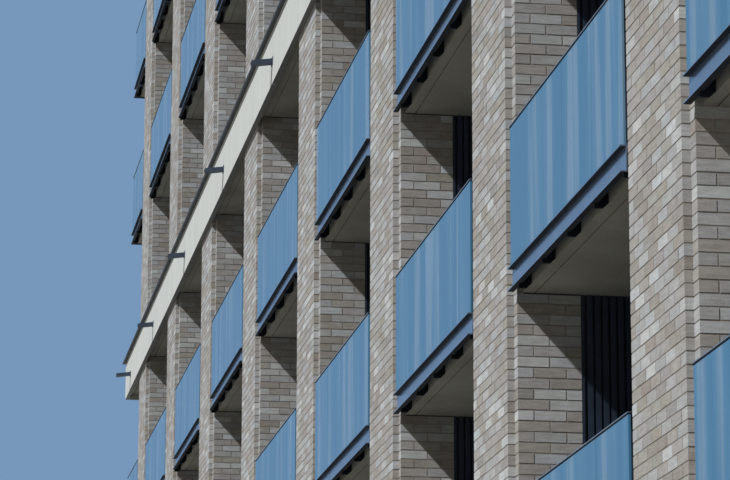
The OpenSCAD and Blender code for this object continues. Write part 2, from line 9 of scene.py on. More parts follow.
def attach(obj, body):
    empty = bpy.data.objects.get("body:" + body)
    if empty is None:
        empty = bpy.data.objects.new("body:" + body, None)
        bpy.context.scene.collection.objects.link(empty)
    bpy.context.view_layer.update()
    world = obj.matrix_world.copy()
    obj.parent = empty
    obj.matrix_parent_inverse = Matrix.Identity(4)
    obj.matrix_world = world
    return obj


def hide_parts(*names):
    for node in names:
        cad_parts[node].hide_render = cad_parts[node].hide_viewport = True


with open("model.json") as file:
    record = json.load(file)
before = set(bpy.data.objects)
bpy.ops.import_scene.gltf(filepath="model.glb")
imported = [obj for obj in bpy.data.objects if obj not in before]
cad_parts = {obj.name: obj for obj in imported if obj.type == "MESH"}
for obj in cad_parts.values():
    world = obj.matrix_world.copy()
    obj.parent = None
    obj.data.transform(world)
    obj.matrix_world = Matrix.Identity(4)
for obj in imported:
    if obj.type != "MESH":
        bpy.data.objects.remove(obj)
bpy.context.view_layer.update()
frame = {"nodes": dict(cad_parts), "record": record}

# Sizes of the block, in metres, the same as in the part's source
BAYS = 7
BAY_PITCH = 4.8375
STOREYS = 8
STOREY_H = 2.625
GROUND_H = 3.825
GROUND_SLAB_T = 0.15
SLAB_T = 0.225
SLAB_EDGE_IN = 0.095
FRONT_Y = -6.3
RECESS_D = 1.62
PIER_W = 1.2375
PIER_STEP = 0.05
PIER_D = 0.45
STRIP_W = 0.1125
PARAPET_T = 0.225
PARAPET_H = 1.05
CORNER_W = 2.05
CORNER_D = 3.15
CLAD_D = 0.036
BAND_T = 0.06
TERRACE_IN = 0.6
TERRACE_SHOE_H = 0.1

# Bricks and their joints
BRICK_L = 0.215
HALF_BRICK = BRICK_L / 2
COURSE_H = 0.075
JOINT = 0.01

# Floors with guards on their edge, and the floor that has the band in place of them
GUARD_LEVELS = (1, 2, 3, 5, 6, 7)
BAND_LEVEL = 4

# Places worked out from them
ROOF_Z = GROUND_H + (STOREYS - 1) * STOREY_H
PARAPET_Z = ROOF_Z + PARAPET_H
STRIP_Y = FRONT_Y + PIER_STEP
PIER_BACK_Y = STRIP_Y + PIER_D
SCREEN_Y = FRONT_Y + RECESS_D
SLAB_EDGE_Y = FRONT_Y + SLAB_EDGE_IN
HALF_BAY = (BAY_PITCH - PIER_W) / 2
HALF_NOOK = HALF_BAY - STRIP_W
PIER_EDGE_X = BAYS * BAY_PITCH / 2 + PIER_W / 2
GABLE_X = PIER_EDGE_X + STRIP_W
CORNER_X = PIER_EDGE_X + CORNER_W
CORNER_Y = FRONT_Y + CORNER_D

# How far a cutter reaches past what it cuts
PAST = 1

# The part of a face's normal along an axis past which it counts as turned that way
TURNED = 0.5


def top_z(level):
    """Top of the floor at a level, the ground storey being level 0."""
    return GROUND_SLAB_T if level == 0 else GROUND_H + (level - 1) * STOREY_H


def soffit_z(level):
    """Underside of the slab above a level."""
    return GROUND_H + level * STOREY_H - SLAB_T


def pier_x(i):
    """Middle of a pier."""
    return (i - BAYS / 2) * BAY_PITCH


def bay_x(i):
    """Middle of a bay."""
    return pier_x(i) + BAY_PITCH / 2


# Modelling

def chosen(pieces):
    """Selects some pieces and nothing else, and makes the first the active one."""
    bpy.ops.object.select_all(action="DESELECT")
    for piece in pieces:
        piece.select_set(True)
    bpy.context.view_layer.objects.active = pieces[0]


def block(low, high):
    """A cube drawn out to its corners, with its place in its mesh."""
    bpy.ops.object.select_all(action="DESELECT")
    low, high = Vector(low), Vector(high)
    bpy.ops.mesh.primitive_cube_add(size=1, location=(low + high) / 2)
    made = bpy.context.object
    made.scale = high - low
    bpy.ops.object.transform_apply(location=True, rotation=False, scale=True)
    return made


def joined(pieces, name):
    """Several pieces made one, with its name."""
    chosen(pieces)
    if len(pieces) > 1:
        bpy.ops.object.join()
    whole = pieces[0]
    whole.name = name
    whole.data.name = name
    return whole


def copied(piece, name, shift):
    """A copy with its own mesh, moved within it."""
    made = piece.copy()
    made.data = piece.data.copy()
    made.name = name
    made.data.name = name
    bpy.context.scene.collection.objects.link(made)
    return moved(made, shift)


def moved(piece, shift):
    """Moves a piece within its mesh."""
    piece.data.transform(Matrix.Translation(shift))
    return piece


def turned(piece, degrees, axis):
    """Turns a piece about an axis through the origin, within its mesh."""
    piece.data.transform(Matrix.Rotation(math.radians(degrees), 4, axis))
    return piece


def mirrored_x(piece):
    """Turns a piece's mesh over in X and its faces outwards again."""
    piece.data.transform(Matrix.Diagonal((-1, 1, 1, 1)))
    piece.data.flip_normals()
    return piece


def changed(piece, kind, **settings):
    """Gives a piece a modifier with its settings and applies it."""
    chosen([piece])
    change = piece.modifiers.new("change", kind)
    for key, value in settings.items():
        setattr(change, key, value)
    bpy.ops.object.modifier_apply(modifier="change")
    return piece


def repeated(piece, count, step):
    """A row of the same piece."""
    return changed(piece, "ARRAY", count=count, use_relative_offset=False, use_constant_offset=True,
                   constant_offset_displace=step)


def cut(piece, cutter):
    """Takes another piece away from one."""
    changed(piece, "BOOLEAN", operation="DIFFERENCE", solver="EXACT", object=cutter)
    bpy.data.objects.remove(cutter)
    return piece


def eased(piece, size):
    """Takes a small chamfer off every edge."""
    return changed(piece, "BEVEL", width=size, segments=1, limit_method="ANGLE")


def on_both_sides(model, shift):
    """Copies of a piece of the +X side of a recess on both sides of every bay's recess."""
    made = []
    for i in range(BAYS):
        for side in (-1, 1):
            piece = copied(model, "copy", shift)
            if side < 0:
                mirrored_x(piece)
            made.append(moved(piece, (bay_x(i), 0, 0)))
    return made


def along_front(model, heights, places):
    """Copies of a model at places along the front, at each of some heights."""
    made = [copied(model, "copy", (x, 0, z)) for z in heights for x in places]
    bpy.data.objects.remove(model)
    return made


def at_both_ends(model, heights):
    """Copies of an east corner's model at both ends of the block."""
    made = []
    for z in heights:
        made.append(copied(model, "copy", (0, 0, z)))
        made.append(mirrored_x(copied(model, "copy", (0, 0, z))))
    bpy.data.objects.remove(model)
    return made


def dressed(piece, *finishes):
    """Gives a piece its finishes."""
    piece.data.materials.clear()
    for coat in finishes:
        piece.data.materials.append(coat)
    return piece


def placed(piece, node):
    """Lets a finished piece take the place of a node of the CAD."""
    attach(piece, "root")
    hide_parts(node)


# Materials

MM = 0.001


def linear(code):
    """An sRGB hex colour as the linear values that Blender works in."""
    parts = [int(code[i:i + 2], 16) / 255 for i in (1, 3, 5)]
    return tuple(p / 12.92 if p <= 0.04045 else ((p + 0.055) / 1.055) ** 2.4 for p in parts) + (1,)


def add(tree, kind, inputs=(), stops=(), **settings):
    """Adds a node with its settings, its inputs' values or links, and a ramp's (place, colour) stops.

    A node that is given for an input stands for its first output.
    """
    made = tree.nodes.new("ShaderNode" + kind)
    for key, value in settings.items():
        setattr(made, key, value)
    for key, value in dict(inputs).items():
        if isinstance(value, bpy.types.Node):
            value = value.outputs[0]
        if isinstance(value, bpy.types.NodeSocket):
            tree.links.new(value, made.inputs[key])
        else:
            made.inputs[key].default_value = value
    if stops:
        elements = made.color_ramp.elements
        while len(elements) < len(stops):
            elements.new(0.5)
        for element, (place, code) in zip(elements, stops):
            element.position = place
            element.color = linear(code)
    return made


def per_mm(size):
    """The scale at which a pattern's features are a size in millimetres."""
    return 1 / (size * MM)


# The inputs and the output of a Mix node that mixes colours
SHARE, UNDER, OVER, MIXED = 0, 6, 7, 2


def laid_over(tree, body, share, pattern, stops, blend="MIX"):
    """Lays a pattern's colours over a body colour by a share."""
    colours = add(tree, "ValToRGB", {"Fac": pattern}, stops)
    return add(tree, "Mix", {SHARE: share, UNDER: body, OVER: colours}, data_type="RGBA",
               blend_type=blend).outputs[MIXED]


def finish(name, draw, **shader):
    """A material whose pattern is drawn by a function that returns the shader's linked inputs."""
    made = bpy.data.materials.new(name)
    made.use_nodes = True
    tree = made.node_tree
    tree.nodes.clear()
    place = add(tree, "TexCoord").outputs["Object"]
    inputs = {key.replace("_", " "): value for key, value in shader.items()}
    inputs.update(draw(tree, place))
    surface = add(tree, "BsdfPrincipled", inputs)
    add(tree, "OutputMaterial", {"Surface": surface})
    return made


BRICK_TONES = (
    (0.00, "#8b847e"), (0.14, "#958d87"), (0.30, "#9f9892"), (0.46, "#a8a39f"),
    (0.62, "#acadb0"), (0.78, "#b5b8bb"), (0.90, "#c6cacd"), (1.00, "#d7dbde"))
BRICK_TINTS = ((0.0, "#877b6f"), (0.25, "#9c968f"), (0.5, "#9aa4ae"), (0.8, "#909078"), (1.0, "#98908a"))
MORTAR_TONES = ((0.3, "#7a746f"), (0.7, "#928c86"))


def brick_skin(tree, place, tone):
    """Colour and relief of the brick itself: pale grey, some bricks rosy or olive, with a dragged face."""
    body = add(tree, "ValToRGB", {"Fac": tone}, BRICK_TONES)
    # A large factor makes the tint of a brick independent of its tone
    scattered = add(tree, "Math", {0: tone, 1: 97}, operation="MULTIPLY")
    chance = add(tree, "TexWhiteNoise", {"W": scattered}, noise_dimensions="1D")
    body = laid_over(tree, body, 0.3, chance, BRICK_TINTS)
    cloud = add(tree, "TexNoise", {"Vector": place, "Scale": per_mm(90), "Detail": 3.0})
    # The wire leaves drag lines 16 mm apart and seven times as long
    dragged = add(tree, "Mapping", {"Vector": place, "Scale": (0.14, 0.14, 1)})
    drag = add(tree, "TexNoise", {
        "Vector": dragged, "Scale": per_mm(16), "Detail": 3.0, "Roughness": 0.6})
    # Grit of 3 mm would vanish in the picture, so it is drawn at 9 mm
    grit = add(tree, "TexNoise", {"Vector": place, "Scale": per_mm(9), "Detail": 3.0, "Roughness": 0.7})
    body = laid_over(tree, body, 0.16, cloud, ((0.3, "#84706a"), (0.7, "#b4babf")))
    body = laid_over(tree, body, 0.38, drag, ((0.3, "#a5a29e"), (0.65, "#ffffff")), "MULTIPLY")
    body = laid_over(tree, body, 0.25, grit, ((0.3, "#8e8b86"), (0.7, "#ffffff")), "MULTIPLY")
    fine = add(tree, "Math", {0: grit, 1: 0.4}, operation="MULTIPLY")
    return body, add(tree, "Math", {0: fine, 1: drag}, operation="ADD")


def draw_brick(tree, place):
    """Laid bricks, each with the tone that its mesh holds."""
    tone = add(tree, "Attribute", attribute_name="tone").outputs["Fac"]
    body, relief = brick_skin(tree, place, tone)
    return {"Base Color": body, "Normal": add(tree, "Bump", {"Height": relief, "Distance": 1.2 * MM})}


def sand(tree, place):
    """Sand of the mortar. Its grains of 2 mm would vanish in the picture, so they are drawn at 8 mm."""
    return add(tree, "TexNoise", {"Vector": place, "Scale": per_mm(8), "Detail": 3.0, "Roughness": 0.6})


def draw_mortar(tree, place):
    """Sandy grey mortar."""
    grain = sand(tree, place)
    return {"Base Color": add(tree, "ValToRGB", {"Fac": grain}, MORTAR_TONES),
            "Normal": add(tree, "Bump", {"Height": grain, "Distance": 1.5 * MM})}


def facing(tree):
    """The three parts of the direction in which a surface faces."""
    normal = add(tree, "NewGeometry").outputs["True Normal"]
    return add(tree, "SeparateXYZ", {0: normal}).outputs


def draw_brick_wall(tree, place):
    """Stretcher bond on flat walls: courses from the ground, running along the wall's own direction."""
    axes = add(tree, "SeparateXYZ", {0: place}).outputs
    turn = add(tree, "Math", {0: facing(tree)[0]}, operation="ABSOLUTE")
    sideways = add(tree, "Math", {0: turn, 1: TURNED}, operation="GREATER_THAN")
    from_back = add(tree, "Math", {0: axes[1], 1: PIER_BACK_Y}, operation="SUBTRACT")
    shifted = add(tree, "Math", {0: from_back, 1: axes[0]}, operation="SUBTRACT")
    along = add(tree, "Math", {0: sideways, 1: shifted, 2: axes[0]}, operation="MULTIPLY_ADD")
    flat = add(tree, "CombineXYZ", {0: along, 1: axes[2]})
    bond = add(tree, "TexBrick", {
        "Vector": flat, "Color1": (0, 0, 0, 1), "Color2": (1, 1, 1, 1), "Mortar": (0.5, 0.5, 0.5, 1),
        "Scale": 1, "Mortar Size": JOINT / 2, "Mortar Smooth": 0.1, "Bias": 0,
        "Brick Width": BRICK_L + JOINT, "Row Height": COURSE_H}, offset=0.5, offset_frequency=2)
    in_joint = bond.outputs["Fac"]
    body, relief = brick_skin(tree, place, bond.outputs["Color"])
    body = laid_over(tree, body, in_joint, sand(tree, place), MORTAR_TONES)
    low_relief = add(tree, "Math", {0: relief, 1: 0.2}, operation="MULTIPLY")
    height = add(tree, "Math", {0: low_relief, 1: in_joint}, operation="SUBTRACT")
    return {"Base Color": body, "Normal": add(tree, "Bump", {"Height": height, "Distance": 5 * MM})}


def draw_concrete(tree, place):
    """Cloudy grey, with pores. Pores of 5 mm would vanish in the picture, so they are drawn at 14 mm."""
    cloud = add(tree, "TexNoise", {"Vector": place, "Scale": per_mm(700), "Detail": 4.0})
    pores = add(tree, "TexNoise", {"Vector": place, "Scale": per_mm(14), "Detail": 3.0, "Roughness": 0.7})
    body = add(tree, "ValToRGB", {"Fac": cloud}, ((0.3, "#827f78"), (0.7, "#9e9c94")))
    body = laid_over(tree, body, 0.25, pores, ((0.35, "#7d7a70"), (0.65, "#ffffff")), "MULTIPLY")
    return {"Base Color": body, "Normal": add(tree, "Bump", {"Height": pores, "Distance": 0.8 * MM})}


def draw_plaster(tree, place):
    """Even off-white. The nap of a roller, 3 mm, would vanish in the picture, so it is drawn at 20 mm."""
    cloud = add(tree, "TexNoise", {"Vector": place, "Scale": per_mm(900)})
    nap = add(tree, "TexNoise", {"Vector": place, "Scale": per_mm(20)})
    return {"Base Color": add(tree, "ValToRGB", {"Fac": cloud}, ((0.3, "#bdbab2"), (0.7, "#cbc8c0"))),
            "Normal": add(tree, "Bump", {"Height": nap, "Distance": 0.5 * MM})}


def draw_coat(dark, light, dirt_mm=350):
    """Draws a coat with patches of dust of a size, and the orange peel of its spraying."""
    def draw(tree, place):
        dust = add(tree, "TexNoise", {"Vector": place, "Scale": per_mm(dirt_mm), "Detail": 3.0})
        # Orange peel of 3 mm would vanish in the picture, so it is drawn at 12 mm
        peel = add(tree, "TexNoise", {"Vector": place, "Scale": per_mm(12)})
        return {"Base Color": add(tree, "ValToRGB", {"Fac": dust}, ((0.35, dark), (0.65, light))),
                "Normal": add(tree, "Bump", {"Height": peel, "Distance": 0.15 * MM})}
    return draw


def draw_guard_glass(tree, place):
    """A blue that partly stands in for the sky it mirrors, with soft pale upright stripes of painted
    reflection, through which what stands behind shows more.
    """
    # The pale stripes of painted reflection are 260 mm wide and twenty times as tall
    upright = add(tree, "Mapping", {"Vector": place, "Scale": (1, 1, 0.05)})
    reflection_bands = add(tree, "TexNoise", {"Vector": upright, "Scale": per_mm(260), "Roughness": 0.6})
    clear = add(tree, "MapRange", {
        "Value": reflection_bands, "From Min": 0.52, "From Max": 0.63, "To Min": 0.25, "To Max": 0.6})
    wave = add(tree, "TexNoise", {"Vector": place, "Scale": per_mm(900), "Detail": 1.0})
    tint_and_reflection = ((0.40, "#477b9f"), (0.53, "#5886a8"), (0.63, "#9bbcd4"))
    return {"Base Color": add(tree, "ValToRGB", {"Fac": reflection_bands}, tint_and_reflection), "Transmission Weight": clear,
            "Normal": add(tree, "Bump", {"Height": wave, "Distance": 0.6 * MM})}


def draw_pane(tree, place):
    """Nearly clear, with the slight wave of a sealed unit."""
    wave = add(tree, "TexNoise", {"Vector": place, "Scale": per_mm(1200), "Detail": 1.0})
    return {"Base Color": add(tree, "ValToRGB", {"Fac": wave}, ((0.3, "#9fb3bf"), (0.7, "#b4c6d0"))),
            "Normal": add(tree, "Bump", {"Height": wave, "Distance": 0.8 * MM})}


def draw_band(tree, place):
    """Off-white cast panel with faint upright rain marks, its underside coloured dark grey as painted
    shade.
    """
    # Rain marks 160 mm apart run down the whole panel
    upright = add(tree, "Mapping", {"Vector": place, "Scale": (1, 1, 0.08)})
    marks = add(tree, "TexNoise", {
        "Vector": upright, "Scale": per_mm(160), "Detail": 4.0, "Roughness": 0.6})
    # Pores of 2 mm would vanish in the picture, so they are drawn at 10 mm
    pores = add(tree, "TexNoise", {"Vector": place, "Scale": per_mm(10), "Roughness": 0.6})
    whites = ((0.30, "#b2b4b1"), (0.50, "#babcb9"), (0.75, "#c0c2bf"))
    body = add(tree, "ValToRGB", {"Fac": marks}, whites)
    # Faces turned down take a dark grey: painted shade on the band's underside
    painted_shade_below = add(tree, "Math", {0: facing(tree)[2], 1: -TURNED}, operation="LESS_THAN")
    body = add(tree, "Mix", {SHARE: painted_shade_below, UNDER: body, OVER: linear("#504f4b")}, data_type="RGBA")
    return {"Base Color": body.outputs[MIXED],
            "Normal": add(tree, "Bump", {"Height": pores, "Distance": 0.4 * MM})}


# Wire-cut clay brick, laid one by one or drawn on flat walls: its gritty face scatters light, with no gloss
BRICK = finish("wire_cut_brick", draw_brick, Roughness=0.9)
BRICK_WALL = finish("wire_cut_brickwork", draw_brick_wall, Roughness=0.9)

# Raked cement mortar: sandy and dull, in the shade of the bricks' edges
MORTAR = finish("raked_cement_mortar", draw_mortar, Roughness=0.95)

# Concrete cast on smooth boards: cloudy and dull, warm where light comes up from the ground
CONCRETE = finish("smooth_cast_concrete", draw_concrete, Roughness=0.85)

# Emulsion rolled on plaster: pale, even and dull
PLASTER = finish("rolled_emulsion", draw_plaster, Roughness=0.8)

# Powder-coated steel sheet: near-black blue with a soft sheen along its ribs
CLADDING = finish("powder_coated_sheet", draw_coat("#18222f", "#222e3d"), Roughness=0.5)

# Powder-coated aluminium: dark grey, a little glossier than the sheet
FRAME = finish("powder_coated_aluminium", draw_coat("#1c2128", "#232931"), Roughness=0.4)

# Gloss-coated dark navy steel: upright faces seen along their length give back the sky, as a metal does,
# and its pale blue colour, far lighter than the navy paint, is partly painted reflection of that sky
NAVY_STEEL = finish("gloss_coated_steel", draw_coat("#7b90a8", "#889cb4"), Roughness=0.22, Metallic=0.7)

# The same coat on toes, cleats and rail seats, coloured near-black and dull: painted shade, as these parts
# are seen in shade
SHADE_PAINTED_STEEL = finish("steel_painted_in_shade", draw_coat("#0a0e15", "#10161f", 120), Roughness=0.7,
                     Specular_IOR_Level=0.15)

# Laminated glass with a blue interlayer: glossy and only half clear; its blue is partly, and its pale
# stripes are, painted reflection of the sky
GUARD_GLASS = finish("blue_laminated_glass", draw_guard_glass, Roughness=0.06, IOR=1.5)

# Float glass: sharp reflections, and dark rooms behind it
PANE = finish("double_glazed_float_glass", draw_pane, Roughness=0.02, IOR=1.5, Transmission_Weight=0.85)

# Fibre-reinforced cement, cast smooth: off-white and dull, with painted shade on its underside
BAND = finish("cast_fibre_cement", draw_band, Roughness=0.7)

# Gunned mastic: a dark line with hardly any sheen
MASTIC = finish("gunned_mastic", draw_coat("#1d1b19", "#2a2724", 60), Roughness=0.6)

# Folded aluminium with a matt coat: dark green-grey
COPING = finish("matt_coated_aluminium", draw_coat("#1c2124", "#23292c"), Roughness=0.7)

# Folded steel with a matt coat: slate blue
SPOUT = finish("matt_coated_steel", draw_coat("#233040", "#2c3a4b", 90), Roughness=0.6)

FINISHES = {
    "brick": BRICK_WALL, "concrete": CONCRETE, "inner_wall": PLASTER, "cladding": CLADDING,
    "frame": FRAME, "pane": PANE, "guard_glass": GUARD_GLASS, "navy_steel": NAVY_STEEL,
    "band": BAND, "coping": COPING,
}
for subpart in frame["record"]["subparts"]:
    dressed(frame["nodes"][subpart["node"]], FINISHES[subpart["material_slot"]])


# Brick piers: every brick of the piers on the balcony front, over a core of mortar

JOINT_IN = 0.003
WHOLE_BRICKS = 5
FACE_BRICK_LAP = 0.013
RETURN_L = 0.22
SIDE_BRICK_T = 0.03
CORE_LAP = 0.01
PALE_SHARE = 0.28
PALE_TONE = (0.84, 0.09)
USUAL_TONE = (0.42, 0.17)
OUT_OF_LINE = 0.001
BLOCK_CORNERS = 8
FIRST_SEED = 40


def course_z(course):
    """Underside and top of a course's bricks."""
    low = course * COURSE_H + JOINT / 2
    return low, low + COURSE_H - JOINT


def course_pair():
    """Two courses of a pier centred on x = 0, the second broken by half a brick."""
    bricks = []
    edge = PIER_W / 2
    whole = [BRICK_L] * WHOLE_BRICKS
    courses = ((0, whole + [HALF_BRICK], RETURN_L), (1, [HALF_BRICK] + whole, HALF_BRICK))
    for course, widths, depth in courses:
        low, high = course_z(course)
        x = -edge
        for k, width in enumerate(widths):
            end = edge if k == WHOLE_BRICKS else x + width
            bricks.append(block((x, FRONT_Y, low), (end, STRIP_Y + FACE_BRICK_LAP, high)))
            x = end + JOINT
        for side in (-1, 1):
            x0, x1 = sorted((side * (edge - JOINT), side * (edge + STRIP_W)))
            bricks.append(block((x0, STRIP_Y, low), (x1, STRIP_Y + depth, high)))
    return joined(bricks, "course_pair")


def side_pair():
    """Two courses of the bricks behind the strips, over the depth of a pier."""
    bricks = []
    edge = PIER_W / 2 + STRIP_W
    first = HALF_BRICK + JOINT
    second = first + RETURN_L + JOINT
    places = ((0, RETURN_L + JOINT, PIER_D), (1, first, first + RETURN_L), (1, second, PIER_D))
    for course, near, far in places:
        low, high = course_z(course)
        for side in (-1, 1):
            x0, x1 = sorted((side * (edge - SIDE_BRICK_T), side * edge))
            bricks.append(block((x0, STRIP_Y + near, low), (x1, STRIP_Y + far, high)))
    return joined(bricks, "side_pair")


def raised(pair, height):
    """A pair of courses repeated up to a height."""
    return repeated(pair, round(height / (2 * COURSE_H)), (0, 0, 2 * COURSE_H))


def toned(piece, seed):
    """Gives each brick its own tone and sets it up to a millimetre out of line."""
    draw = np.random.default_rng(seed)
    mesh = piece.data
    count = len(mesh.vertices) // BLOCK_CORNERS
    pale = draw.random(count) < PALE_SHARE
    tone = np.where(pale, draw.normal(*PALE_TONE, count), draw.normal(*USUAL_TONE, count))
    held = mesh.attributes.new("tone", "FLOAT", "POINT")
    held.data.foreach_set("value", np.repeat(np.clip(tone, 0, 1), BLOCK_CORNERS))
    place = np.zeros(len(mesh.vertices) * 3)
    mesh.vertices.foreach_get("co", place)
    shift = draw.uniform(-OUT_OF_LINE, OUT_OF_LINE, (count, 3))
    mesh.vertices.foreach_set("co", place + np.repeat(shift, BLOCK_CORNERS, axis=0).ravel())
    return piece


def mortar_core():
    """The pier between its bricks, set back behind their faces."""
    edge = PIER_W / 2 - JOINT_IN
    side = edge + STRIP_W
    strip_y = STRIP_Y + JOINT_IN
    return joined([
        block((-side, strip_y, 0), (side, PIER_BACK_Y, ROOF_Z)),
        block((-side, strip_y, ROOF_Z - CORE_LAP), (side, STRIP_Y + PARAPET_T, PARAPET_Z)),
        block((-edge, FRONT_Y + JOINT_IN, 0), (edge, strip_y + CORE_LAP, PARAPET_Z)),
    ], "mortar_core")


bricks = joined([raised(course_pair(), PARAPET_Z), raised(side_pair(), ROOF_Z)], "bricks")
dressed(bricks, BRICK)
core = dressed(mortar_core(), MORTAR)
for i in range(BAYS + 1):
    shift = (pier_x(i), 0, 0)
    laid = toned(copied(bricks, "laid", shift), FIRST_SEED + i)
    pier = joined([laid, copied(core, "core", shift)], f"brick_pier_{i + 1}")
    placed(pier, f"front_pier_{i + 1}")
for spare in (bricks, core):
    bpy.data.objects.remove(spare)


# Ribbed cladding on the sides of the recesses

RIB_PITCH = 0.055
RIB_TOP = 0.038
RIB_FOOT = 0.044
RIB_D = 0.028
RIB_LAP = 0.002
SHEET_T = 0.008
TRIM_W = 0.022
FIRST_RIB = 0.02


def cladding_panel(height):
    """One panel on the +X side of a bay, ribs towards the recess, from x = 0 and z = 0."""
    sheet_x = CLAD_D - SHEET_T
    sheet = block((sheet_x, PIER_BACK_Y, 0), (CLAD_D, SCREEN_Y, height))
    trim = block((0, PIER_BACK_Y, 0), (CLAD_D, PIER_BACK_Y + TRIM_W, height))
    start = PIER_BACK_Y + TRIM_W + FIRST_RIB
    rib = block((sheet_x - RIB_D, start, 0), (sheet_x + RIB_LAP, start + RIB_FOOT, height))
    narrow = (RIB_FOOT - RIB_TOP) / 2
    for corner in rib.data.vertices:
        if corner.co.x < sheet_x - RIB_D / 2:
            corner.co.y += narrow if corner.co.y < start + RIB_FOOT / 2 else -narrow
    count = int((SCREEN_Y - start - RIB_FOOT) / RIB_PITCH) + 1
    return joined([sheet, trim, repeated(rib, count, (0, RIB_PITCH, 0))], "panel")


panels = []
for level in range(STOREYS):
    model = cladding_panel(soffit_z(level) - top_z(level))
    panels += on_both_sides(model, (HALF_NOOK, 0, top_z(level)))
    bpy.data.objects.remove(model)
cladding = dressed(joined(panels, "ribbed_panels"), CLADDING)
placed(cladding, "ribbed_cladding")


# Channels along the balcony edges, with their toes outwards, on cleats

CHANNEL_OUT = 0.019
CHANNEL_H = 0.165
CHANNEL_GAP = 0.12
TOE = 0.036
STEEL_T = 0.008
WEB_IN = TOE - CHANNEL_OUT
BACK_IN = WEB_IN + STEEL_T

CLEAT_T = 0.02
CLEAT_IN = 0.004
CLEAT_TOP = 0.14
CLEAT_DROP = 0.03
CLEAT_CUT = 0.0247
CLEAT_PLAY = 0.0005
CLEAT_PITCH = 0.7675
CLEAT_SHIFT = 0.12
CLEAT_FROM_GABLE = 0.265
CLEAT_FROM_EDGE = SLAB_EDGE_IN + 0.1325
CLEATS_A_BAY = 5
CLEATS_ALONG_FRONT = 3
CLEATS_ALONG_SIDE = 4

EDGE_Z = [soffit_z(level - 1) for level in GUARD_LEVELS]
MIDDLES = [bay_x(i) for i in range(BAYS)]


def bay_channel():
    """A channel across a bay, centred on x = 0, with its underside at z = 0."""
    half = HALF_BAY - CHANNEL_GAP
    front = FRONT_Y - CHANNEL_OUT
    groove = block((-half - PAST, front - PAST, STEEL_T),
                   (half + PAST, FRONT_Y + WEB_IN, CHANNEL_H - STEEL_T))
    return cut(block((-half, front, 0), (half, FRONT_Y + BACK_IN, CHANNEL_H)), groove)


def corner_box(inset, z0, z1, start):
    """The plan of an east corner balcony, drawn in from its edges."""
    return block((start, FRONT_Y + inset, z0), (CORNER_X - inset, CORNER_Y - inset, z1))


def corner_channel():
    """The channel round an east corner balcony, open towards the gable."""
    start = PIER_EDGE_X + CHANNEL_GAP
    ring = cut(corner_box(-CHANNEL_OUT, 0, CHANNEL_H, start),
               corner_box(BACK_IN, -PAST, PAST, start - PAST))
    groove = cut(corner_box(-PAST, STEEL_T, CHANNEL_H - STEEL_T, start - PAST),
                 corner_box(WEB_IN, -PAST, PAST, start - 2 * PAST))
    return cut(ring, groove)


def steel_coated(channel):
    """Gives a channel's upright faces the blue steel and the flat faces of its toes a near-black colour of
    painted shade.
    """
    dressed(channel, NAVY_STEEL, SHADE_PAINTED_STEEL)
    for face in channel.data.polygons:
        face.material_index = 1 if abs(face.normal.z) > TURNED else 0
    return channel


def cleat():
    """A plate from the slab edge to the channel and on below it, its lower corner cut off at the slab."""
    plate = block((-CLEAT_T / 2, FRONT_Y + CLEAT_IN, -CLEAT_DROP), (CLEAT_T / 2, SLAB_EDGE_Y, CLEAT_TOP))
    cut(plate, block((-PAST, FRONT_Y - PAST, -CLEAT_PLAY), (PAST, FRONT_Y + BACK_IN, PAST)))
    corner = turned(block((-PAST, -CLEAT_CUT, -CLEAT_CUT), (PAST, CLEAT_CUT, CLEAT_CUT)), 45, "X")
    return cut(plate, moved(corner, (0, SLAB_EDGE_Y, -CLEAT_DROP)))


def turned_cleat(model, degrees, x, y):
    """A copy of a cleat on an edge that faces another way, at a place along it."""
    return moved(turned(copied(model, "cleat", (0, -FRONT_Y, 0)), degrees, "Z"), (x, y, 0))


def bay_cleat_places():
    """Rows of cleats, set off from a bay's middle towards the block's end, but not in the middle bay."""
    places = []
    for i, x in enumerate(MIDDLES):
        first = x + CLEAT_SHIFT * np.sign(i - BAYS // 2) - CLEAT_PITCH * (CLEATS_A_BAY - 1) / 2
        places += [first + CLEAT_PITCH * k for k in range(CLEATS_A_BAY)]
    return places


def corner_cleats():
    """The cleats along the front, the back and the outer side of an east corner balcony."""
    model = cleat()
    plates = []
    for x in np.linspace(GABLE_X + CLEAT_FROM_GABLE, CORNER_X - CLEAT_FROM_EDGE, CLEATS_ALONG_FRONT):
        plates.append(copied(model, "cleat", (x, 0, 0)))
        plates.append(turned_cleat(model, 180, x, CORNER_Y))
    for y in np.linspace(FRONT_Y + CLEAT_FROM_EDGE, CORNER_Y - CLEAT_FROM_EDGE, CLEATS_ALONG_SIDE):
        plates.append(turned_cleat(model, 90, CORNER_X, y))
    bpy.data.objects.remove(model)
    return joined(plates, "cleats")


channels = (along_front(steel_coated(bay_channel()), EDGE_Z, MIDDLES)
            + at_both_ends(steel_coated(corner_channel()), EDGE_Z))
cleats = joined(along_front(cleat(), EDGE_Z, bay_cleat_places())
                + at_both_ends(corner_cleats(), EDGE_Z), "cleats")
# The cleats are coloured near-black all over: painted shade under the channels
edges = joined(channels + [dressed(cleats, SHADE_PAINTED_STEEL)], "balcony_edges")
placed(edges, "balcony_channels")


# Guards: panes of glass on the channels, under slim rails

GLASS_IN = 0.004
GLASS_T = 0.018
GLASS_GAP = 0.127
GLASS_H = 1.005
PANE_GAP = 0.008
RAIL_IN = -0.001
RAIL_W = 0.028
RAIL_H = 0.016
SEAT_H = 0.010
RAIL_JOINT = 0.003
EASE = 0.002
PANES_A_BAY = 4
PANES_ALONG_FRONT = 2
PANES_ALONG_SIDE = 3

# On the band's floor the guards stand back on shoes, as terraces have them
TERRACE_GLASS_IN = TERRACE_IN + 0.021
TERRACE_GLASS_H = 0.996
TERRACE_RAIL_IN = TERRACE_IN + 0.016

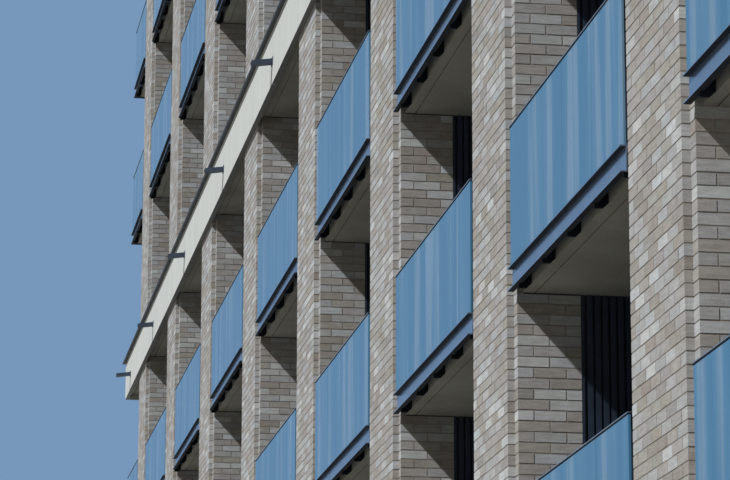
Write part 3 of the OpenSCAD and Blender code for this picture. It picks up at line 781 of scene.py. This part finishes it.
HALF_GLASS = HALF_BAY - GLASS_GAP
GLASS_X = PIER_EDGE_X + GLASS_GAP
GLASS_Y = FRONT_Y + GLASS_IN
GLASS_Z = [z + CHANNEL_H for z in EDGE_Z]
TERRACE_Z = [top_z(BAND_LEVEL) + TERRACE_SHOE_H]


def row(low, high, count, axis=0):
    """Panes in a line along X, axis 0, or Y, axis 1, with a gap between each two."""
    wide = (high[axis] - low[axis] - PANE_GAP * (count - 1)) / count
    made = []
    for k in range(count):
        first, last = list(low), list(high)
        first[axis] = low[axis] + k * (wide + PANE_GAP)
        last[axis] = first[axis] + wide
        made.append(block(first, last))
    return made


def corner_lengths(start, inset, width, height, joint):
    """Three lengths round an east corner balcony from z = 0, the front one from a start in X."""
    x, y0, y1 = CORNER_X - inset, FRONT_Y + inset, CORNER_Y - inset
    return joined([block((start, y0, 0), (x, y0 + width, height)),
                   block((x - width, y0 + width + joint, 0), (x, y1 - width - joint, height)),
                   block((GABLE_X, y1 - width, 0), (x, y1, height))], "lengths")


def bay_panes():
    """The panes across a bay."""
    low, high = (-HALF_GLASS, GLASS_Y, 0), (HALF_GLASS, GLASS_Y + GLASS_T, GLASS_H)
    return joined(row(low, high, PANES_A_BAY), "panes")


def corner_panes():
    """The panes along the front, the back and the outer side of an east corner balcony."""
    outer_x, back_y = CORNER_X - GLASS_IN, CORNER_Y - GLASS_IN
    inner_x = outer_x - GLASS_T - PANE_GAP
    return joined(
        row((GLASS_X, GLASS_Y, 0), (inner_x, GLASS_Y + GLASS_T, GLASS_H), PANES_ALONG_FRONT)
        + row((GABLE_X + PANE_GAP, back_y - GLASS_T, 0), (inner_x, back_y, GLASS_H), PANES_ALONG_FRONT)
        + row((inner_x + PANE_GAP, GLASS_Y, 0), (outer_x, back_y, GLASS_H), PANES_ALONG_SIDE, 1), "panes")


def terrace_panes():
    """The panes across a bay's terrace."""
    half, front = HALF_NOOK - PANE_GAP, FRONT_Y + TERRACE_GLASS_IN
    return joined(row((-half, front, 0), (half, front + GLASS_T, TERRACE_GLASS_H), PANES_A_BAY), "panes")


def terrace_corner_panes():
    """One pane on each side of an east corner's terrace."""
    return corner_lengths(GABLE_X, TERRACE_GLASS_IN, GLASS_T, TERRACE_GLASS_H, PANE_GAP)


def bay_rail(height):
    """A rail across a bay."""
    front = FRONT_Y + RAIL_IN
    return block((-HALF_GLASS, front, 0), (HALF_GLASS, front + RAIL_W, height))


def corner_rail(height):
    """A rail round an east corner balcony."""
    return corner_lengths(GLASS_X, RAIL_IN, RAIL_W, height, RAIL_JOINT)


def terrace_rail(height):
    """A rail across a bay's terrace."""
    front = FRONT_Y + TERRACE_RAIL_IN
    return block((-HALF_NOOK, front, 0), (HALF_NOOK, front + RAIL_W, height))


def terrace_corner_rail(height):
    """A rail round an east corner's terrace."""
    return corner_lengths(GABLE_X, TERRACE_RAIL_IN, RAIL_W, height, RAIL_JOINT)


def capped(rail):
    """A rail in two parts: a seat on the glass coloured near-black as painted shade under the rail, and a
    cap of the blue steel over it.
    """
    seat = dressed(eased(rail(SEAT_H), EASE), SHADE_PAINTED_STEEL)
    cap = dressed(eased(rail(RAIL_H - SEAT_H), EASE), NAVY_STEEL)
    return joined([seat, moved(cap, (0, 0, SEAT_H))], "rail")


def on_all_edges(models, heights, terrace_heights):
    """Copies of a bay's, a corner's, a terrace's and a terrace corner's model on all their edges."""
    bay, corner, terrace, terrace_corner = models
    return (along_front(bay, heights, MIDDLES) + at_both_ends(corner, heights)
            + along_front(terrace, terrace_heights, MIDDLES)
            + at_both_ends(terrace_corner, terrace_heights))


panes = [eased(made, EASE) for made in (
    bay_panes(), corner_panes(), terrace_panes(), terrace_corner_panes())]
glass = joined(on_all_edges(panes, GLASS_Z, TERRACE_Z), "guard_panes")
placed(dressed(glass, GUARD_GLASS), "guard_glass")

caps = [capped(rail) for rail in (bay_rail, corner_rail, terrace_rail, terrace_corner_rail)]
rail_z = [z + GLASS_H for z in GLASS_Z]
terrace_rail_z = [z + TERRACE_GLASS_H for z in TERRACE_Z]
rails = joined(on_all_edges(caps, rail_z, terrace_rail_z), "cap_rails")
placed(rails, "guard_rails")


# Rain spouts of the band: trays open along their top, on flanges

SPOUT_L = 0.24
SPOUT_W = 0.09
SPOUT_H = 0.056
SPOUT_T = 0.005
SPOUT_START = 0.003
SPOUT_BACK = 0.01
SPOUT_FALL = 8
SPOUT_UP = 0.165
FLANGE_EDGE = 0.02
SPOUT_EASE = 0.001


def spout():
    """One spout centred on x = 0 and z = 0, the band's face lying at y = 0."""
    half_w, half_h = SPOUT_W / 2, SPOUT_H / 2
    hollow = block((-half_w + SPOUT_T, -SPOUT_L - PAST, -half_h + SPOUT_T),
                   (half_w - SPOUT_T, -SPOUT_T - SPOUT_BACK, PAST))
    tray = cut(block((-half_w, -SPOUT_L, -half_h), (half_w, -SPOUT_START, half_h)), hollow)
    edge_w, edge_h = half_w + FLANGE_EDGE, half_h + FLANGE_EDGE
    flange = block((-edge_w, -SPOUT_T, -edge_h), (edge_w, 0, edge_h))
    return eased(joined([flange, turned(tray, SPOUT_FALL, "X")], "spout"), SPOUT_EASE)


corner_middle = (GABLE_X + CORNER_X) / 2
spouts = joined(along_front(moved(spout(), (0, FRONT_Y - BAND_T, 0)), [soffit_z(BAND_LEVEL - 1) + SPOUT_UP],
                            MIDDLES + [-corner_middle, corner_middle]), "band_spouts")
placed(dressed(spouts, SPOUT), "rain_spouts")


# Soft joints where the side brickwork of a recess meets the slab above

BEAD_H = 0.01
BEAD_OUT = 0.003
BEAD_IN = 0.002

model = block((HALF_NOOK - BEAD_OUT, SLAB_EDGE_Y, -BEAD_H), (HALF_NOOK + BEAD_IN, PIER_BACK_Y, 0))
beads = []
for level in range(STOREYS):
    beads += on_both_sides(model, (0, 0, soffit_z(level)))
bpy.data.objects.remove(model)
joints = dressed(joined(beads, "soft_joints"), MASTIC)
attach(joints, "root")


# Floor

FLOOR_SIZE = 900


def seen_ray(tree):
    """1 for rays that show a thing, straight, through glass or mirrored, and 0 for those that light it."""
    path = add(tree, "LightPath").outputs
    mirrored = add(tree, "Math", {0: path["Is Glossy Ray"], 1: path["Is Transmission Ray"]},
                   operation="MAXIMUM")
    return add(tree, "Math", {0: path["Is Camera Ray"], 1: mirrored}, operation="MAXIMUM")


def draw_floor(tree, place):
    """Pale where it is seen, darker and warm in the light it throws back up."""
    cloud = add(tree, "TexNoise", {"Vector": place, "Scale": per_mm(4000)})
    pale = add(tree, "ValToRGB", {"Fac": cloud}, ((0.3, "#cccecf"), (0.7, "#d0d2d3")))
    body = add(tree, "Mix", {
        SHARE: seen_ray(tree), UNDER: linear("#8d8b80"), OVER: pale}, data_type="RGBA")
    return {"Base Color": body.outputs[MIXED]}


bpy.ops.object.select_all(action="DESELECT")
bpy.ops.mesh.primitive_plane_add(size=FLOOR_SIZE, location=(0, 0, 0))
floor = bpy.context.object
floor.name = "floor"
# Swept concrete paving: pale and dull
dressed(floor, finish("swept_paving", draw_floor, Roughness=0.9))


# Sun and sky

SUN_STRENGTH = 4.5
SUN_WIDTH = 1.5
TO_SUN = (0.5, -1.0, 1.09)
SKY_FILL = 0.42

sun = bpy.data.lights.new("sun", "SUN")
sun.energy = SUN_STRENGTH
sun.angle = math.radians(SUN_WIDTH)
sun.color = linear("#fbfdfe")[:3]
sun_object = bpy.data.objects.new("sun", sun)
sun_object.rotation_mode = "QUATERNION"
sun_object.rotation_quaternion = Vector(TO_SUN).to_track_quat("Z", "Y")
bpy.context.scene.collection.objects.link(sun_object)

world = bpy.data.worlds.new("studio")
world.use_nodes = True
bpy.context.scene.world = world
sky = world.node_tree
sky.nodes.clear()
seen = seen_ray(sky)
backdrop = add(sky, "Mix", {
    SHARE: seen, UNDER: linear("#c1bab0"), OVER: linear("#7797bb")}, data_type="RGBA")
strength = add(sky, "MapRange", {"Value": seen, "To Min": SKY_FILL, "To Max": 1.0})
glow = add(sky, "Background", {"Color": backdrop.outputs[MIXED], "Strength": strength})
add(sky, "OutputWorld", {"Surface": glow})

bpy.context.scene.view_settings.view_transform = "Standard"


# Camera: its place in metres, its turn in degrees and its lens in millimetres

CAMERA_AT = (34.016, -10.642, 1.470)
YAW = 8.9154
PITCH = 13.3380
ROLL = 0.1477
LENS = 157.48
SENSOR = 36
NEAREST = 0.5
FARTHEST = 1000

yaw, pitch, roll = (math.radians(angle) for angle in (YAW, PITCH, ROLL))
ahead = Vector((-math.cos(pitch) * math.cos(yaw), math.cos(pitch) * math.sin(yaw), math.sin(pitch)))
level_right = ahead.cross(Vector((0, 0, 1))).normalized()
level_up = level_right.cross(ahead)
right = math.cos(roll) * level_right + math.sin(roll) * level_up
up = math.cos(roll) * level_up - math.sin(roll) * level_right
lens = bpy.data.cameras.new("camera")
lens.lens = LENS
lens.sensor_width = SENSOR
lens.clip_start = NEAREST
lens.clip_end = FARTHEST
camera = bpy.data.objects.new("camera", lens)
camera.matrix_world = Matrix(
    [(right[i], up[i], -ahead[i], CAMERA_AT[i]) for i in range(3)] + [(0, 0, 0, 1)])
bpy.context.scene.collection.objects.link(camera)
bpy.context.scene.camera = camera
